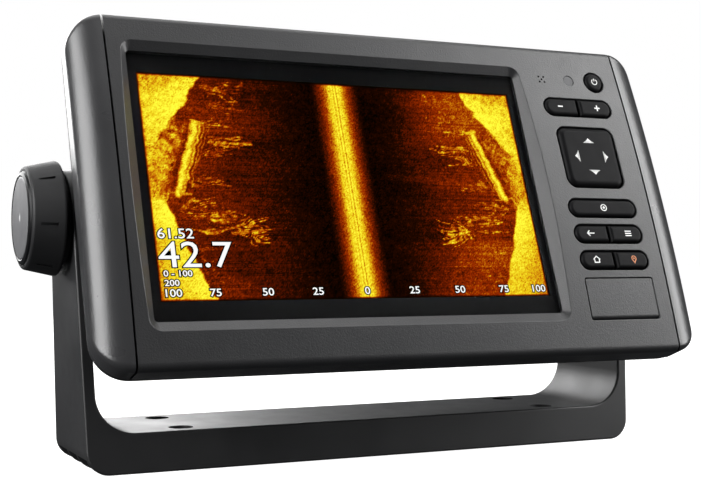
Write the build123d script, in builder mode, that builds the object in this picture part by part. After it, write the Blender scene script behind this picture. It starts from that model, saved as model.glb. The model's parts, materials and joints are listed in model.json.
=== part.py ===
from build123d import *
import os
from math import asin, atan2, cos, hypot, radians, sin, sqrt

os.makedirs("parts", exist_ok=True)

# A fish finder: a display head that tilts between the arms of a U-shaped bracket.
# Millimetres. Origin at the centre of the bracket's underside, +Z up, the screen faces -Y.

# Frame of the head: u to the viewer's right, v up the face, w out of the face.
lean = 20.9                     # degrees that the face leans back from upright
face_origin = (0, -43.0, 102.6)
face = Plane(
    origin=face_origin,
    x_dir=(1, 0, 0),
    z_dir=(0, -cos(radians(lean)), sin(radians(lean))),
)
plan = Plane(origin=face_origin, x_dir=face.x_dir, z_dir=-face.y_dir)      # sketches in u, w
profile = Plane(origin=face_origin, x_dir=face.y_dir, z_dir=face.x_dir)    # sketches in v, w

# Bracket
base_half_width = 116.0
base_half_depth = 25.0
base_thickness = 14.5
arm_thickness = 4.4
arm_flare = 0.044               # outward lean of the arms, mm per mm of height
arm_round = 17.8                # radius of the arm's top
outer_corner = 8.5
inner_corner = 14.5
edge_break = 0.8
pivot_height = 91.3
pad_inner, pad_outer = 115.5, 120.7     # flat faces of the pivot pads, from the middle
pad_radius = 16.2
stud_radius = 4.0
pivot_hole = stud_radius + 0.3
hole_spacing_x, hole_spacing_y = 158.0, 30.0
base_hole, counterbore = 2.6, 4.6
web = 3.2                       # front and rear walls of the ribbed underside
rib = 1.6
pocket_height = 12.0
skirt_height = 5.5              # the outer skin ends this far above the underside
middle_channel = 6.5            # half width of the channel between the long ribs
cross_rib_pitch = 39.5

# Head shell
half_width = 123.0
half_height = 66.6
head_corner = 14.0
shell_depth = 10.5
crown_rise = 2.6                # the face is crowned about a level axis
crown_radius = (half_height**2 + crown_rise**2) / (2 * crown_rise)
roll_start = 110.25             # the side caps begin here and roll back to the sides
roll_width, roll_depth = 13.4, 10.0
edge_round = 2.8
seam = 0.8
wall_back = 3.6                 # the front wall's inner face lies this far behind the face plane
flange_front = 8.0              # the bezel's rear flange runs from here to the shell's back
opening_half = (105.5, 56.5)    # the opening that the display goes in through
cavity_half = (107.4, 63.8)     # the room behind the front wall
flange_inset = 3.4              # the rear flange is this much smaller than the shell, all round
peg_u, peg_v = 114.0, 30.0      # pegs that hold the side caps
peg_radius, cap_skin = 1.4, 5.0
edge_boss = 3.0

# Display
screen_centre = (-21.6, 1.2)
active = (154.9, 86.4)
lens_size = (161.6, 101.6)
recess_floor = 1.0
lens_thickness = 1.6
mask_thickness = 0.15
lcd_size = (163.0, 98.0)
lcd_front, lcd_back = 3.7, 7.4

# Keys: well centre u, v, length and height on the face
zoom_well = (86.6, 37.9, 33.4, 8.6)
select_well = (86.6, -7.3, 33.1, 8.25)
back_well = (86.7, -18.3, 33.1, 8.2)
home_well = (86.9, -29.3, 33.1, 8.2)
pad_well = (86.6, 15.2, 28.0, 27.4)
pad_corner = 4.5
power_place, power_well_radius = (98.1, 50.7), 4.8
sensor_place, sensor_radius = (85.5, 50.7), 2.3
beeper_place, beeper_radius, beeper_front = (72.2, 50.7), 4.6, 4.6
key_gap = 0.6
split_gap = 1.0                 # between two keys that share a well
key_edge, pad_edge = 1.4, 2.4   # rounding of the tops
key_stand = 0.7                 # how far a key stands out of the face
key_travel = 0.8
key_lip, key_lip_thickness = 1.0, 1.1
stem_radius = 1.2
mat_front, mat_back = 6.0, 6.8
switch_front, board_front, board_thickness = 7.6, 9.0, 1.6

# Card door, hinged on a pin along its lower edge
door_centre, door_size, door_corner = (87.0, -45.1), (32.6, 17.0), 1.0
door_gap = 0.4
door_thickness = 2.2
door_pin_radius, door_pin_rise, door_pin_depth = 0.6, 1.9, 1.5

# Rear housing
joint_gap = 0.5                 # the housing's front rim lies this far behind the bezel
lip_back = 15.0
lip_inset = 0.6
housing_sections = (            # depth behind the face plane, width, height
    (15.0, 220.0, 119.0),
    (42.0, 208.0, 116.0),
    (56.0, 190.0, 104.0),
)
housing_wall = 3.0
transducer_place, transducer_radius = (-36.0, -30.0), 11.4
power_socket_place, network_place, plug_radius = (0.0, -30.0), (32.0, -30.0), 9.4
vent_place, vent_radius = (62.0, -30.0), 2.95
boss_radius, boss_face = 13.5, 114.2
boss_inner, insert_inner, insert_radius = 94.0, 97.0, 6.0
screw_radius, screw_head = 1.4, 2.6
side_screws = [(side * 116.5, v) for side in (-1, 1) for v in (-46.0, 2.0, 50.0)]
edge_screws = [(u, side * 62.75) for side in (-1, 1) for u in (-66.0, 0.0, 66.0)]

# Knobs
knob_inner, knob_outer = 122.0, 135.1
knob_rim, knob_shoulder = 21.0, 18.6
knob_slots, slot_width, slot_length = 7, 1.1, 8.4
knob_hub = 17.1                 # radius of the core that the rubber grip is moulded on
stud_inner, stud_end = 100.0, 131.0
grip_face = 134.0
washer_radius, washer_thickness = 16.0, 1.2


def crown(v):
    """Height of the crowned face over the face plane at v."""
    return crown_rise - crown_radius + sqrt(crown_radius**2 - v**2)


def depth_of(shape):
    """Height of a shape's middle over the face plane."""
    return face.to_local_coords(shape.center()).Z


def save(piece, name):
    piece.part.label = name
    export_step(piece.part, f"parts/{name}.step")


# ---- Bracket: a ribbed U moulding ----
lean_distance = hypot(base_half_depth, pivot_height)
arm_taper = atan2(base_half_depth, pivot_height) - asin(arm_round / lean_distance)
arm_top = pivot_height + arm_round + 2
flared = [base_half_width + arm_flare * z for z in (0, base_thickness, arm_top)]

with BuildPart() as mounting_bracket:
    with BuildSketch(Plane.XZ) as front_view:
        with BuildLine():
            Polyline(
                (-flared[0], 0), (flared[0], 0), (flared[2], arm_top),
                (flared[2] - arm_thickness, arm_top), (flared[1] - arm_thickness, base_thickness),
                (-flared[1] + arm_thickness, base_thickness),
                (-flared[2] + arm_thickness, arm_top), (-flared[2], arm_top), close=True,
            )
        make_face()
        fillet(front_view.vertices().filter_by(lambda p: abs(p.Y) < 0.1), outer_corner)
        fillet(front_view.vertices().filter_by(lambda p: abs(p.Y - base_thickness) < 0.1), inner_corner)
    extrude(amount=base_half_depth, both=True)
    with BuildSketch(Plane.YZ):
        tangent = (arm_round * cos(arm_taper), pivot_height + arm_round * sin(arm_taper))
        Polygon(
            (-base_half_depth, 0), (base_half_depth, 0), tangent, (-tangent[0], tangent[1]), align=None
        )
        with Locations((0, pivot_height)):
            Circle(arm_round)
    extrude(amount=base_half_width + 10, both=True, mode=Mode.INTERSECT)
    fillet(edges().filter_by(lambda e: abs(e.tangent_at(0.5).Y) < 0.9), edge_break)
    # pivot pads, square to the hinge
    for side in (-1, 1):
        with BuildSketch(Plane.YZ.offset(side * pad_inner)):
            with Locations((0, pivot_height)):
                Circle(pad_radius)
        extrude(amount=side * (pad_outer - pad_inner))
        with BuildSketch(Plane.YZ.offset(side * pad_inner)):
            with Locations((0, pivot_height)):
                Circle(pad_radius)
        extrude(amount=-side * 3, mode=Mode.SUBTRACT)
        with BuildSketch(Plane.YZ.offset(side * (pad_inner - 1))):
            with Locations((0, pivot_height)):
                Circle(pivot_hole)
        extrude(amount=side * 8, mode=Mode.SUBTRACT)
    # three channels along the underside, open at their outer ends below the skirt
    side_channel = (middle_channel + rib, base_half_depth - web)
    channel_edges = (
        -side_channel[1], -side_channel[0], -middle_channel, middle_channel, *side_channel
    )
    for low, high in zip(channel_edges[::2], channel_edges[1::2]):
        with BuildSketch(Plane.XY):
            with Locations((0, (low + high) / 2)):
                Rectangle(2 * base_half_width - 5, high - low)
        extrude(amount=pocket_height, mode=Mode.SUBTRACT)
        with BuildSketch(Plane.XY):
            with Locations((0, (low + high) / 2)):
                Rectangle(2 * base_half_width + 10, high - low)
        extrude(amount=skirt_height, mode=Mode.SUBTRACT)
    with BuildSketch(Plane.XY):
        with GridLocations(cross_rib_pitch, 0, 5, 1):
            Rectangle(rib, 2 * base_half_depth - 3)
        with GridLocations(hole_spacing_x, hole_spacing_y, 2, 2):
            Circle(counterbore + 1.6)
    extrude(amount=pocket_height + 0.5)
    with Locations(Plane.XY.offset(base_thickness)):
        with GridLocations(hole_spacing_x, hole_spacing_y, 2, 2):
            CounterBoreHole(base_hole, counterbore, 4.0)
save(mounting_bracket, "mounting_bracket")

for side, name in ((-1, "left"), (1, "right")):
    with BuildPart() as friction_pad:
        with BuildSketch(Plane.YZ.offset(side * pad_inner)):
            with Locations((0, pivot_height)):
                Circle(boss_radius - 0.5)
                Circle(pivot_hole + 0.4, mode=Mode.SUBTRACT)
        extrude(amount=-side * (pad_inner - boss_face - 0.1))
    save(friction_pad, f"{name}_friction_pad")

# ---- Form of the head's front: crowned face with its rolled sides ----
crown_axis = Axis(
    origin=tuple(Vector(*face_origin) + face.z_dir * (crown_rise - crown_radius)), direction=(1, 0, 0)
)
form_depth = 40.0
with BuildPart() as crowned_form:
    with BuildSketch(plan):
        with Locations((0, crown_rise - form_depth / 2)):
            Rectangle(2 * roll_start, form_depth)
        with Locations((-roll_start, crown_rise - roll_depth), (roll_start, crown_rise - roll_depth)):
            Ellipse(roll_width, roll_depth)
        with Locations((0, crown_rise - roll_depth - form_depth / 2)):
            Rectangle(2 * (roll_start + roll_width), form_depth)
    revolve(axis=crown_axis)

with BuildPart() as front_shell:
    with BuildSketch(face.offset(-shell_depth)):
        RectangleRounded(2 * half_width, 2 * half_height, head_corner)
    extrude(amount=shell_depth + crown_rise + 2)
    add(crowned_form.part, mode=Mode.INTERSECT)
    walls = faces().filter_by(lambda f: abs(f.normal_at().dot(face.z_dir)) < 0.02)
    rim = [e for e in walls.edges() if depth_of(e) > -shell_depth + 0.5
           and abs(e.tangent_at(0.5).dot(face.z_dir)) < 0.9]
    fillet(rim, edge_round)


def well_sketch(well, grow):
    """Stadium of a key well, grown or shrunk all round."""
    u, v, length, height = well
    with Locations((u, v)):
        SlotOverall(length + 2 * grow, height + 2 * grow)


slot_wells = (zoom_well, select_well, back_well, home_well)

with BuildPart() as front_bezel:
    add(front_shell.part)
    with BuildSketch(face.offset(-shell_depth)):
        Rectangle(2 * roll_start - seam, 3 * half_height)
    extrude(amount=shell_depth + crown_rise + 2, mode=Mode.INTERSECT)
    # flange under the side caps
    with BuildSketch(face.offset(-shell_depth)):
        RectangleRounded(
            2 * (half_width - flange_inset), 2 * (half_height - flange_inset), head_corner - flange_inset
        )
    extrude(amount=shell_depth - flange_front)
    # cavity behind the front wall, and the opening through the rear flange
    with BuildSketch(face.offset(-flange_front)):
        RectangleRounded(2 * cavity_half[0], 2 * cavity_half[1], 8)
    extrude(amount=flange_front - wall_back, mode=Mode.SUBTRACT)
    with BuildSketch(face.offset(-shell_depth)):
        RectangleRounded(2 * opening_half[0], 2 * opening_half[1], 6)
    extrude(amount=shell_depth - flange_front, mode=Mode.SUBTRACT)
    # bosses for the edge screws, and the walls of the card bay
    with BuildSketch(face.offset(-flange_front)):
        with Locations(*edge_screws):
            Circle(edge_boss)
        with Locations(door_centre):
            RectangleRounded(door_size[0] + 3.4, door_size[1] + 3.0, door_corner + 1)
    extrude(amount=flange_front - wall_back)
    # sloping recess, lens pocket and display window
    with BuildSketch(face.offset(-recess_floor)):
        with Locations(screen_centre):
            RectangleRounded(lens_size[0] + 0.4, lens_size[1] + 0.4, 1.5)
    with BuildSketch(face.offset(crown_rise + 1.0)):
        with Locations(screen_centre):
            RectangleRounded(lens_size[0] + 10.4, lens_size[1] + 18.5, 9)
    loft(mode=Mode.SUBTRACT)
    with BuildSketch(face.offset(-recess_floor)):
        with Locations(screen_centre):
            RectangleRounded(lens_size[0] + 0.4, lens_size[1] + 0.4, 1.5)
    extrude(amount=-lens_thickness - mask_thickness, mode=Mode.SUBTRACT)
    with BuildSketch(face.offset(-recess_floor)):
        with Locations(screen_centre):
            Rectangle(active[0] + 2.5, active[1] + 2.5)
    extrude(amount=-wall_back, mode=Mode.SUBTRACT)
    # key wells, card bay, sensor and beeper openings
    with BuildSketch(face.offset(-flange_front)):
        for well in slot_wells:
            well_sketch(well, 0)
        with Locations(pad_well[:2]):
            RectangleRounded(pad_well[2], pad_well[3], pad_corner)
        with Locations(power_place):
            Circle(power_well_radius)
        with Locations(door_centre):
            RectangleRounded(*door_size, door_corner)
        with Locations(sensor_place):
            Circle(sensor_radius)
    extrude(amount=flange_front + crown_rise + 1, mode=Mode.SUBTRACT)
    opening_rims = front_bezel.edges().filter_by(
        lambda e: depth_of(e) > 0.3 and abs(e.center().X) < 106
        and abs(face.to_local_coords(e.center()).Y) < half_height - edge_round - 2
        and abs(e.tangent_at(0.5).dot(face.z_dir)) < 0.4
    )
    print("bezel rims to round:", len(opening_rims))
    fillet(opening_rims, 0.35)
    with BuildSketch(face.offset(-flange_front)):
        with Locations(beeper_place):
            with Locations((0, 0), (1.2, 1.2), (-1.2, 1.2), (1.2, -1.2), (-1.2, -1.2)):
                Circle(0.45)
    extrude(amount=flange_front + crown_rise + 1, mode=Mode.SUBTRACT)
    # holes for the housing screws, the cap pegs and the door pin
    with BuildSketch(face.offset(-shell_depth)):
        with Locations(*edge_screws, *side_screws):
            Circle(screw_radius + 0.05)
    extrude(amount=shell_depth - 4.4, mode=Mode.SUBTRACT)
    with BuildSketch(face.offset(-shell_depth)):
        with GridLocations(2 * peg_u, 2 * peg_v, 2, 2):
            Circle(peg_radius + 0.2)
    extrude(amount=shell_depth - flange_front, mode=Mode.SUBTRACT)
    pin_v = door_centre[1] - door_size[1] / 2 + door_pin_rise
    pin_w = crown(pin_v) - door_pin_depth
    with BuildSketch(profile.offset(door_centre[0])):
        with Locations((pin_v, pin_w)):
            Circle(door_pin_radius)
    extrude(amount=door_size[0] / 2 + 1.2, both=True, mode=Mode.SUBTRACT)
save(front_bezel, "front_bezel")

for side, name in ((-1, "left"), (1, "right")):
    with BuildPart() as side_cap:
        add(front_shell.part)
        with BuildSketch(face.offset(-shell_depth)):
            with Locations((side * (roll_start + seam / 2 + 20), 0)):
                Rectangle(40, 3 * half_height)
        extrude(amount=shell_depth + crown_rise + 2, mode=Mode.INTERSECT)
        with BuildSketch(face.offset(-shell_depth)):
            RectangleRounded(2 * half_width - 5.6, 2 * half_height - 5.6, head_corner - 2.8)
        extrude(amount=cap_skin, mode=Mode.SUBTRACT)
        with BuildSketch(face.offset(-shell_depth + cap_skin)):
            with Locations((side * peg_u, -peg_v), (side * peg_u, peg_v)):
                Circle(peg_radius)
        extrude(amount=-4.0)
    save(side_cap, f"{name}_side_cap")

# ---- Display ----
with BuildPart() as display_lens:
    with BuildSketch(face.offset(-recess_floor)):
        with Locations(screen_centre):
            RectangleRounded(*lens_size, 1.3)
    extrude(amount=-lens_thickness)
save(display_lens, "display_lens")

with BuildPart() as lens_mask:
    with BuildSketch(face.offset(-recess_floor - lens_thickness)):
        with Locations(screen_centre):
            RectangleRounded(*lens_size, 1.3)
            Rectangle(active[0] + 0.3, active[1] + 0.3, mode=Mode.SUBTRACT)
    extrude(amount=-mask_thickness)
save(lens_mask, "lens_mask")

with BuildPart() as lcd_panel:
    with BuildSketch(face.offset(-lcd_front)):
        with Locations(screen_centre):
            Rectangle(*lcd_size)
    extrude(amount=lcd_front - lcd_back)
    with BuildSketch(face.offset(-lcd_front)):
        with Locations(screen_centre):
            Rectangle(active[0] + 2, active[1] + 2)
    extrude(amount=0.75)
save(lcd_panel, "lcd_panel")

standoffs = [(screen_centre[0] + u, screen_centre[1] + v) for u in (-72, 72) for v in (-40, 40)]
main_board_front = 16.0
with BuildPart() as lcd_frame:
    with BuildSketch(face.offset(-lcd_front)):
        with Locations(screen_centre):
            Rectangle(lcd_size[0] + 2, lcd_size[1] + 2)
            Rectangle(lcd_size[0] + 0.3, lcd_size[1] + 0.3, mode=Mode.SUBTRACT)
    extrude(amount=lcd_front - lcd_back - 1.0)
    with BuildSketch(face.offset(-lcd_back)):
        with Locations(screen_centre):
            Rectangle(lcd_size[0] + 2, lcd_size[1] + 2)
    extrude(amount=-1.0)
    with BuildSketch(face.offset(-lcd_back)):
        with Locations(*standoffs):
            Circle(2.5)
    extrude(amount=lcd_back - main_board_front)
    with BuildSketch(face.offset(-main_board_front)):
        with Locations(*standoffs):
            Circle(1.25)
    extrude(amount=6, mode=Mode.SUBTRACT)
save(lcd_frame, "lcd_frame")

# ---- Electronics ----
main_board_back = main_board_front + board_thickness
board_centre = (-14, 0)
with BuildPart() as main_board:
    with BuildSketch(face.offset(-main_board_front)):
        with Locations(board_centre):
            RectangleRounded(176, 96, 3)
        with Locations(*standoffs):
            Circle(1.5, mode=Mode.SUBTRACT)
    extrude(amount=-board_thickness)
save(main_board, "main_board")

processor = (-20, 8, 24, 24, 2.4)
chips = (  # centre u, v, width, height and thickness of each component
    processor, (14, 12, 14, 12, 1.2), (14, -6, 14, 12, 1.2), (44, -18, 18, 16, 1.6),
    (-48, -10, 12, 12, 1.4), (-50, -28, 20, 10, 6.0), (50, 22, 10, 10, 5.0), (-12, -30, 26, 8, 5.0),
)
with BuildPart() as board_chips:
    for u, v, width, height, thickness in chips:
        with BuildSketch(face.offset(-main_board_back)):
            with Locations((u, v)):
                Rectangle(width, height)
        extrude(amount=-thickness)
save(board_chips, "board_chips")

with BuildPart() as gps_antenna:
    with BuildSketch(face.offset(-main_board_back)):
        with Locations((-72, 24)):
            RectangleRounded(25, 25, 1)
    extrude(amount=-4.0)
save(gps_antenna, "gps_antenna")

spreader_front, spreader_thickness = 27.0, 4.0
with BuildPart() as heat_spreader:
    with BuildSketch(face.offset(-spreader_front)):
        with Locations(board_centre):
            RectangleRounded(150, 88, 4)
    extrude(amount=-spreader_thickness)
    with BuildSketch(face.offset(-spreader_front)):
        with Locations(processor[:2]):
            Rectangle(22, 22)
    extrude(amount=spreader_front - main_board_back - processor[4])
save(heat_spreader, "heat_spreader")

with BuildPart() as board_screws:
    for place in standoffs:
        with BuildSketch(face.offset(-main_board_back)):
            with Locations(place):
                Circle(2.3)
        extrude(amount=-1.6)
        with BuildSketch(face.offset(-main_board_back)):
            with Locations(place):
                Circle(1.2)
        extrude(amount=board_thickness + 5)
save(board_screws, "board_screws")


# ---- Keys: each is a cap in its well, a lip that keeps it in and a stem to its switch ----
def key_stems(well, halves):
    """Centre of each key that shares a well, by its side of the split."""
    u, v, length, _ = well
    return [(u + side * length / 4, v) for side in halves]


def key_outline(well, grow, side):
    """A well's stadium, or the half of it on one side of the split."""
    u, v, length, height = well
    well_sketch(well, grow)
    if side:
        with Locations((u - side * length, v)):
            Rectangle(2 * length + split_gap, 2 * height, mode=Mode.SUBTRACT)


keys = (  # name, well, side of the split
    ("zoom_out_key", zoom_well, -1), ("zoom_in_key", zoom_well, 1), ("select_key", select_well, 0),
    ("back_key", back_well, -1), ("menu_key", back_well, 1),
    ("home_key", home_well, -1), ("mark_key", home_well, 1),
)
stem_places = [key_stems(well, (side,))[0] for _, well, side in keys] + [power_place]
for (name, well, side), stem in zip(keys, stem_places):
    top = crown(well[1]) + key_stand
    with BuildPart() as key:
        with BuildSketch(face.offset(-wall_back - 0.1)):
            key_outline(well, -key_gap, side)
        extrude(amount=wall_back + 0.1 + top)
        fillet(edges().filter_by(lambda e: depth_of(e) > top - 0.01), key_edge)
        with BuildSketch(face.offset(-wall_back - 0.1)):
            key_outline(well, key_lip, side)
        extrude(amount=-key_lip_thickness)
        with BuildSketch(face.offset(-wall_back)):
            with Locations(stem):
                Circle(stem_radius)
        extrude(amount=-(switch_front - wall_back - key_travel - 0.1))
    save(key, name)

with BuildPart() as power_key:
    power_top = crown(power_place[1]) + key_stand
    with BuildSketch(face.offset(-wall_back - 0.1)):
        with Locations(power_place):
            Circle(power_well_radius - key_gap)
    extrude(amount=wall_back + 0.1 + power_top)
    fillet(edges().filter_by(lambda e: depth_of(e) > power_top - 0.01), key_edge)
    with BuildSketch(face.offset(-wall_back - 0.1)):
        with Locations(power_place):
            Circle(power_well_radius + key_lip)
    extrude(amount=-key_lip_thickness)
    with BuildSketch(face.offset(-wall_back)):
        with Locations(power_place):
            Circle(stem_radius)
    extrude(amount=-(switch_front - wall_back - key_travel - 0.1))
save(power_key, "power_key")

# The direction pad rocks left and right on the ridge of an actuator plate, and the plate rocks
# up and down on two round ends that lie in notches of the key mat.
pad_place = pad_well[:2]
pad_stand, pad_lip = 0.9, 0.8
pad_lip_front, pad_lip_back = 4.5, 5.3
actuator_front, actuator_back = 5.6, 6.6
actuator_half, actuator_arm = 9.5, 5.0
ridge_radius, ridge_depth = 0.5, 5.85
pivot_end_radius, pivot_end_depth, pivot_end_reach = 0.45, 6.1, 11.8
with BuildPart() as direction_pad:
    pad_top = crown(pad_place[1]) + pad_stand
    with BuildSketch(face.offset(-pad_lip_front)):
        with Locations(pad_place):
            RectangleRounded(pad_well[2] - 2 * key_gap, pad_well[3] - 2 * key_gap, pad_corner - key_gap)
    extrude(amount=pad_lip_front + pad_top)
    fillet(edges().filter_by(lambda e: depth_of(e) > pad_top - 0.01), pad_edge)
    with BuildSketch(face.offset(-pad_lip_front)):
        with Locations(pad_place):
            RectangleRounded(pad_well[2] + 2 * pad_lip, pad_well[3] + 2 * pad_lip, pad_corner + pad_lip)
    extrude(amount=pad_lip_front - pad_lip_back)
save(direction_pad, "direction_pad")

with BuildPart() as pad_actuator:
    with BuildSketch(face.offset(-actuator_front)):
        with Locations(pad_place):
            Rectangle(2 * actuator_half, actuator_arm)
            Rectangle(actuator_arm, 2 * actuator_half)
    extrude(amount=actuator_front - actuator_back)
    with BuildSketch(plan.offset(-pad_place[1])):
        with Locations((pad_place[0], -ridge_depth)):
            Circle(ridge_radius)
    extrude(amount=actuator_half - 0.3, both=True)
    with BuildSketch(profile.offset(pad_place[0])):
        with Locations((pad_place[1], -pivot_end_depth)):
            Circle(pivot_end_radius)
    extrude(amount=pivot_end_reach, both=True)
save(pad_actuator, "pad_actuator")

pad_switch_reach = 8.0
pad_switches = [
    (pad_place[0] + u * pad_switch_reach, pad_place[1] + v * pad_switch_reach)
    for u, v in ((1, 0), (-1, 0), (0, 1), (0, -1))
]
board_outline_centre, board_outline = (85.0, 11.0), (36.0, 89.4)
with BuildPart() as key_mat:
    with BuildSketch(face.offset(-mat_front)):
        with Locations(board_outline_centre):
            RectangleRounded(*board_outline, 2)
        with Locations(*stem_places):
            Circle(stem_radius + 0.6, mode=Mode.SUBTRACT)
        with Locations(pad_place):
            Rectangle(22, 22, mode=Mode.SUBTRACT)
            Rectangle(2 * pivot_end_reach + 0.4, 2 * pivot_end_radius + 0.2, mode=Mode.SUBTRACT)
        with Locations(beeper_place):
            Circle(beeper_radius + 0.3, mode=Mode.SUBTRACT)
        with Locations(sensor_place):
            Circle(sensor_radius, mode=Mode.SUBTRACT)
    extrude(amount=mat_front - mat_back)
save(key_mat, "key_mat")

with BuildPart() as key_switches:
    with BuildSketch(face.offset(-board_front)):
        with Locations(*stem_places):
            Rectangle(4.5, 4.5)
    extrude(amount=board_front - switch_front)
    with BuildSketch(face.offset(-board_front)):
        with Locations(*pad_switches):
            Rectangle(4.0, 4.0)
    extrude(amount=board_front - switch_front)
save(key_switches, "key_switches")

with BuildPart() as keypad_board:
    with BuildSketch(face.offset(-board_front)):
        with Locations(board_outline_centre):
            RectangleRounded(*board_outline, 2)
    extrude(amount=-board_thickness)
save(keypad_board, "keypad_board")

with BuildPart() as beeper:
    with BuildSketch(face.offset(-board_front)):
        with Locations(beeper_place):
            Circle(beeper_radius)
    extrude(amount=board_front - beeper_front)
    with BuildSketch(face.offset(-beeper_front)):
        with Locations(beeper_place):
            Circle(1.0)
    extrude(amount=-1.5, mode=Mode.SUBTRACT)
save(beeper, "beeper")

with BuildPart() as light_sensor_window:
    with BuildSketch(face.offset(-wall_back)):
        with Locations(sensor_place):
            Circle(sensor_radius - 0.03)
    extrude(amount=wall_back + crown(sensor_place[1]) - 0.25)
    with BuildSketch(face.offset(-wall_back)):
        with Locations(sensor_place):
            Circle(sensor_radius + 1.2)
    extrude(amount=-1.2)
save(light_sensor_window, "light_sensor_window")

# ---- Card door, its pin and seal, and the card socket ----
with BuildPart() as card_door:
    with BuildSketch(face.offset(-4)):
        with Locations(door_centre):
            RectangleRounded(door_size[0] - 2 * door_gap, door_size[1] - 2 * door_gap, door_corner - door_gap)
    extrude(amount=crown_rise + 6)
    add(crowned_form.part, mode=Mode.INTERSECT)
    door_back = crown(door_centre[1]) - door_thickness
    with BuildSketch(face.offset(door_back)):
        with Locations(door_centre):
            Rectangle(2 * door_size[0], 2 * door_size[1])
    extrude(amount=-10, mode=Mode.SUBTRACT)
    # knuckle round the pin
    with BuildSketch(profile.offset(door_centre[0])):
        with Locations((pin_v, pin_w)):
            Circle(door_pin_rise - door_gap)
    extrude(amount=door_size[0] / 2 - door_gap - 0.6, both=True)
    # the lower edge is cleared to the knuckle's round so that the door swings free
    with BuildSketch(profile.offset(door_centre[0])):
        with Locations((pin_v - 5, pin_w + 0.4)):
            Rectangle(10, 12)
        with Locations((pin_v, pin_w)):
            Circle(door_pin_depth, mode=Mode.SUBTRACT)
    extrude(amount=door_size[0], both=True, mode=Mode.SUBTRACT)
    with BuildSketch(profile.offset(door_centre[0])):
        with Locations((pin_v, pin_w)):
            Circle(door_pin_radius + 0.05)
    extrude(amount=door_size[0], both=True, mode=Mode.SUBTRACT)
save(card_door, "card_door")

with BuildPart() as card_door_pin:
    with BuildSketch(profile.offset(door_centre[0])):
        with Locations((pin_v, pin_w)):
            Circle(door_pin_radius - 0.01)
    extrude(amount=door_size[0] / 2 + 1.1, both=True)
save(card_door_pin, "card_door_pin")

socket_centre = (door_centre[0], door_centre[1] + 2.0)
with BuildPart() as card_socket:
    with BuildSketch(face.offset(-flange_front)):
        with Locations(socket_centre):
            Rectangle(20, 6)
    extrude(amount=-15)
    with BuildSketch(face.offset(-flange_front)):
        with Locations(door_centre):
            RectangleRounded(door_size[0] + 1.6, door_size[1] + 1.6, door_corner)
    extrude(amount=-1.2)
    with BuildSketch(face.offset(-flange_front)):
        with Locations(socket_centre):
            Rectangle(11.6, 1.4)
    extrude(amount=-12, mode=Mode.SUBTRACT)
save(card_socket, "card_socket")

with BuildPart() as card_door_seal:
    with BuildSketch(face.offset(-flange_front)):
        with Locations(door_centre):
            RectangleRounded(door_size[0] - 0.2, door_size[1] - 0.2, door_corner)
            RectangleRounded(door_size[0] - 3.0, door_size[1] - 3.0, door_corner - 0.5, mode=Mode.SUBTRACT)
    extrude(amount=3.2)
save(card_door_seal, "card_door_seal")

# ---- Rear housing ----
with BuildPart() as rear_housing:
    with BuildSketch(face.offset(-shell_depth - joint_gap)):
        RectangleRounded(
            2 * (half_width - lip_inset), 2 * (half_height - lip_inset), head_corner - lip_inset
        )
    extrude(amount=shell_depth + joint_gap - lip_back)
    fillet(edges().filter_by(lambda e: depth_of(e) < -lip_back + 0.01), 1.2)
    for depth, width, height in housing_sections:
        with BuildSketch(face.offset(-depth)):
            RectangleRounded(width, height, 12)
    loft(ruled=True)
    fillet(edges().filter_by(lambda e: depth_of(e) < -housing_sections[-1][0] + 0.01), 3.0)
    # bosses that the pivot studs screw into
    for side in (-1, 1):
        with BuildSketch(Plane.YZ.offset(side * boss_inner)):
            with Locations((0, pivot_height)):
                Circle(boss_radius)
        extrude(amount=side * (boss_face - boss_inner))
    with BuildSketch(face.offset(-shell_depth - joint_gap)):
        RectangleRounded(2 * opening_half[0], 2 * opening_half[1], 6)
    extrude(amount=shell_depth + joint_gap - lip_back, mode=Mode.SUBTRACT)
    for depth, width, height in housing_sections:
        floor = housing_wall if depth == housing_sections[-1][0] else 0
        with BuildSketch(face.offset(-depth + floor)):
            RectangleRounded(width - 2 * housing_wall - 3, height - 2 * housing_wall, 9)
    loft(ruled=True, mode=Mode.SUBTRACT)
    for side in (-1, 1):
        with BuildSketch(Plane.YZ.offset(side * boss_inner)):
            with Locations((0, pivot_height)):
                Circle(boss_radius - 3)
        extrude(amount=side * (boss_face - boss_inner))
        with BuildSketch(Plane.YZ.offset(side * insert_inner)):
            with Locations((0, pivot_height)):
                Circle(insert_radius + 0.02)
        extrude(amount=side * 30, mode=Mode.SUBTRACT)
    # cooling fins across the upper back
    with BuildSketch(face.offset(-housing_sections[-1][0] + 1)):
        with Locations((0, 18)):
            with GridLocations(12, 0, 15, 1):
                SlotOverall(52, 2.4, rotation=90)
    extrude(amount=-3.5)
    # screw holes with counterbored seats
    with BuildSketch(face.offset(-lip_back)):
        with Locations(*edge_screws, *side_screws):
            Circle(screw_head + 0.3)
    extrude(amount=2.0, mode=Mode.SUBTRACT)
    with BuildSketch(face.offset(-lip_back)):
        with Locations(*edge_screws, *side_screws):
            Circle(screw_radius + 0.2)
    extrude(amount=5.0, mode=Mode.SUBTRACT)
    # socket holes and the vent hole
    with BuildSketch(face.offset(-60)):
        with Locations(transducer_place):
            Circle(transducer_radius + 0.1)
        with Locations(power_socket_place, network_place):
            Circle(plug_radius + 0.1)
        with Locations(vent_place):
            Circle(vent_radius + 0.05)
    extrude(amount=10, mode=Mode.SUBTRACT)
save(rear_housing, "rear_housing")

with BuildPart() as housing_seal:
    with BuildSketch(face.offset(-shell_depth)):
        RectangleRounded(2 * opening_half[0] + 5.6, 2 * opening_half[1] + 5.6, 8)
        RectangleRounded(2 * opening_half[0] + 1.6, 2 * opening_half[1] + 1.6, 7, mode=Mode.SUBTRACT)
    extrude(amount=-joint_gap)
save(housing_seal, "housing_seal")

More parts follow.
